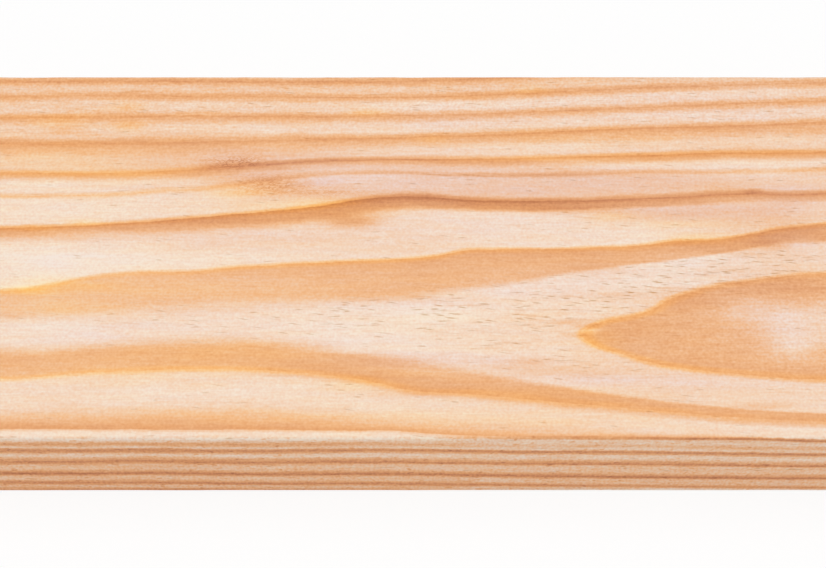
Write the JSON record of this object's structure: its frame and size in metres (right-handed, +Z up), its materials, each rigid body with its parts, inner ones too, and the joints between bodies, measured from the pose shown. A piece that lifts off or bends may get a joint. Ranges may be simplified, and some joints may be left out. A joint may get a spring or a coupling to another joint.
{
  "type": "timber plank",
  "caption": "Planed softwood plank, one long rectangular piece of sawn stock with eased arrises and square crosscut ends, lying flat.",
  "frame": {"origin": "middle of the underside, the face that lies on the floor", "axes": "+X along the grain and the length, +Y across the width to the back edge, +Z up through the thickness"},
  "size_m": [1.829, 0.14, 0.038],
  "materials": {
    "planed_pine": "planed and bare, matt with a faint satin along the grain"
  },
  "bodies": {
    "root": {"plank": "planed_pine"}
  },
  "joints": []
}
